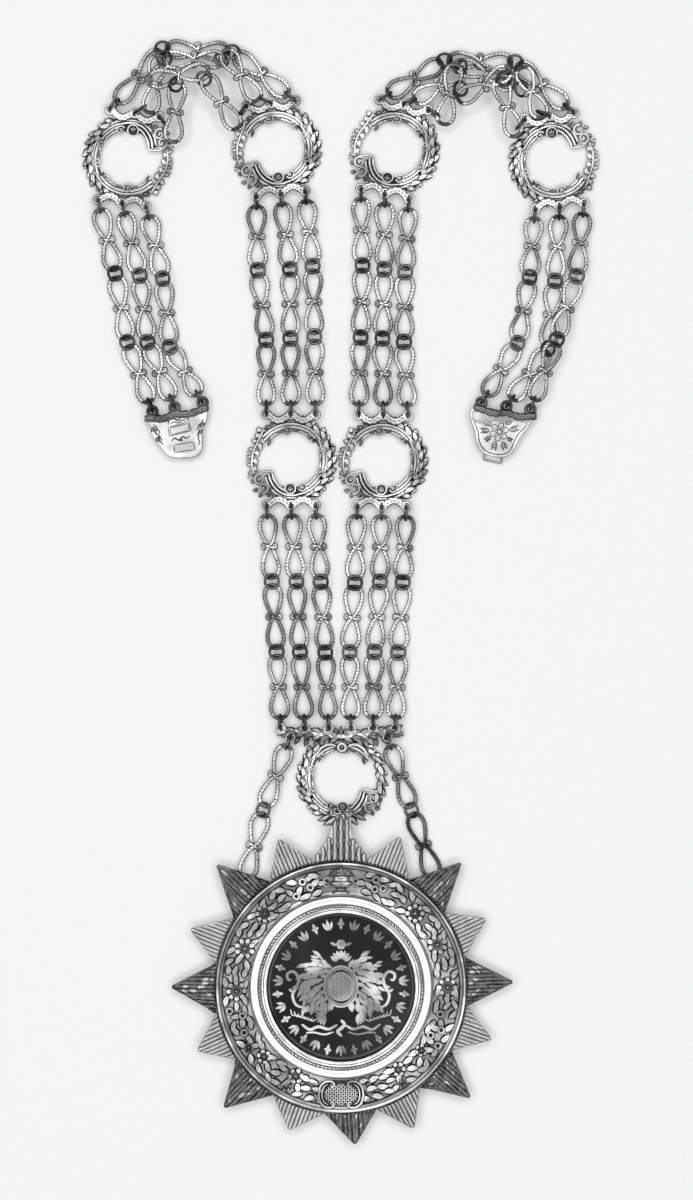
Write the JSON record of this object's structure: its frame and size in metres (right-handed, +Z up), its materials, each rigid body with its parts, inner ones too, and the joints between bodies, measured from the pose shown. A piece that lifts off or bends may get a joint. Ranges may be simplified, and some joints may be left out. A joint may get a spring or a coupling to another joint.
{
  "type": "mayoral chain of office with star badge",
  "caption": "Civic chain of office in silver: figure-eight links in strands, openwork wreaths and a rayed star badge, laid flat with its clasp undone.",
  "frame": {"origin": "on the table, under the middle of the whole piece as it lies", "axes": "+Z up off the table, out of the faces that show when worn; +Y from the badge towards the two arches of the chain; +X to the wearer's left side of the chain"},
  "size_m": [0.2158, 0.4626, 0.0086],
  "materials": {
    "chain_silver": "polished wire, tarnished in the rope twist",
    "cast_silver": "cast and chased, oxidised in the recesses",
    "clasp_silver": "polished and engraved",
    "ray_silver": "ribbed, darkened silver",
    "polished_silver": "polished",
    "plain_silver": "plain back",
    "dark_enamel": "glossy dark enamel with an engraved silver emblem"
  },
  "bodies": {
    "root": {"wreath_1": "cast_silver", "wreath_2": "cast_silver", "wreath_3": "cast_silver", "wreath_4": "cast_silver", "wreath_5": "cast_silver", "wreath_6": "cast_silver", "wreath_7": "cast_silver", "strand_1a": "chain_silver", "strand_1b": "chain_silver", "strand_1c": "chain_silver", "strand_2a": "chain_silver", "strand_2b": "chain_silver", "strand_2c": "chain_silver", "strand_3a": "chain_silver", "strand_3b": "chain_silver", "strand_3c": "chain_silver", "strand_4a": "chain_silver", "strand_4b": "chain_silver", "strand_4c": "chain_silver", "strand_5a": "chain_silver", "strand_5b": "chain_silver", "strand_5c": "chain_silver", "strand_6a": "chain_silver", "strand_6b": "chain_silver", "strand_6c": "chain_silver", "strand_7a": "chain_silver", "strand_7b": "chain_silver", "strand_7c": "chain_silver", "strand_8a": "chain_silver", "strand_8b": "chain_silver", "strand_8c": "chain_silver", "side_chain_left": "chain_silver", "side_chain_right": "chain_silver", "clasp_catch": "clasp_silver", "clasp_plate": "clasp_silver", "clasp_tongue": "clasp_silver", "ray_star": "ray_silver", "back_plate": "plain_silver", "floral_frame": "cast_silver", "polished_band": "polished_silver", "rope_ring": "chain_silver", "bezel": "polished_silver", "roundel": "dark_enamel"}
  },
  "joints": []
}
